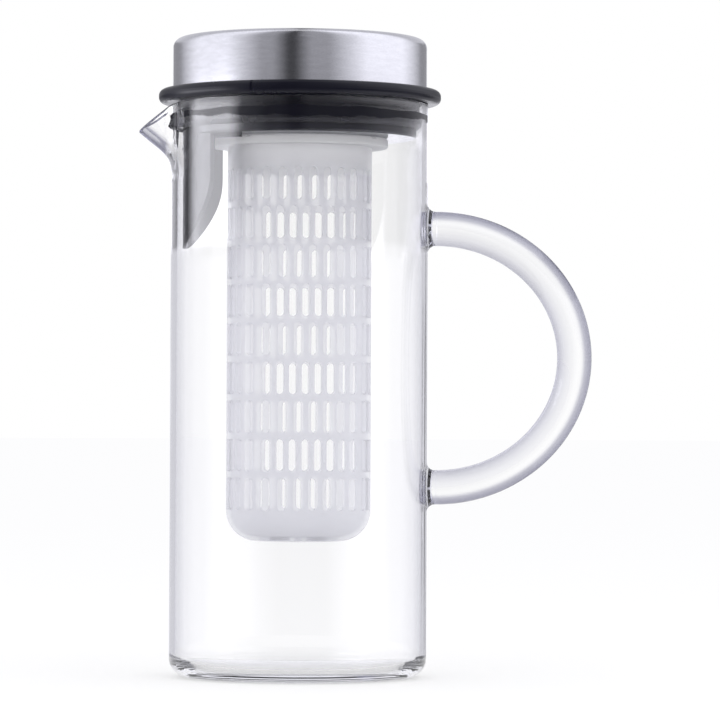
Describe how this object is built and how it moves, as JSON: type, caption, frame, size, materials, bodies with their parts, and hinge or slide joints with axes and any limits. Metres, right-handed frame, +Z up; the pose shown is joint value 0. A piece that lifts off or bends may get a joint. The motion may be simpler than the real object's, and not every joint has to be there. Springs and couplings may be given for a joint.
{
  "type": "fruit infuser pitcher",
  "caption": "Straight-sided glass pitcher with a pulled spout and glass loop handle, a silicone-sealed lid under a brushed steel cover, and a slotted infuser basket that twists into the lid.",
  "frame": {"origin": "centre of the jug's flat underside, on the jug's axis", "axes": "+Z up along the jug's axis, +X towards the handle, -X towards the spout"},
  "size_m": [0.1765, 0.1098, 0.2479],
  "materials": {
    "body_glass": "clear polished",
    "handle_glass": "clear, slightly clouded",
    "brushed_steel": "brushed round the side",
    "carrier_plastic": "moulded, matte",
    "plug_plastic": "satin black",
    "flange_silicone": "satin black silicone",
    "lip_silicone": "smooth black silicone",
    "guard_plastic": "glossy black",
    "infuser_plastic": "milky, translucent"
  },
  "bodies": {
    "jug": {"glass_jug": "body_glass", "glass_handle": "handle_glass"},
    "seal": {"flange_ring": "flange_silicone", "lip_seal": "lip_silicone"},
    "lid": {"lid_cover": "brushed_steel", "lid_carrier": "carrier_plastic", "lid_plug": "plug_plastic", "pour_guard": "guard_plastic"},
    "infuser": {"infuser_basket": "infuser_plastic"}
  },
  "joints": [
    {"name": "lid_lift", "type": "slide", "parent": "jug", "child": "seal", "axis": [0, 0, 1], "range_m": [0, 0.18]},
    {"name": "lid_turn", "type": "hinge", "parent": "seal", "child": "lid", "pos_m": [0, 0, 0.22], "axis": [0, 0, 1], "continuous": true},
    {"name": "infuser_twist", "type": "hinge", "parent": "lid", "child": "infuser", "pos_m": [0, 0, 0.21], "axis": [0, 0, 1], "range_deg": [0, 45]}
  ]
}
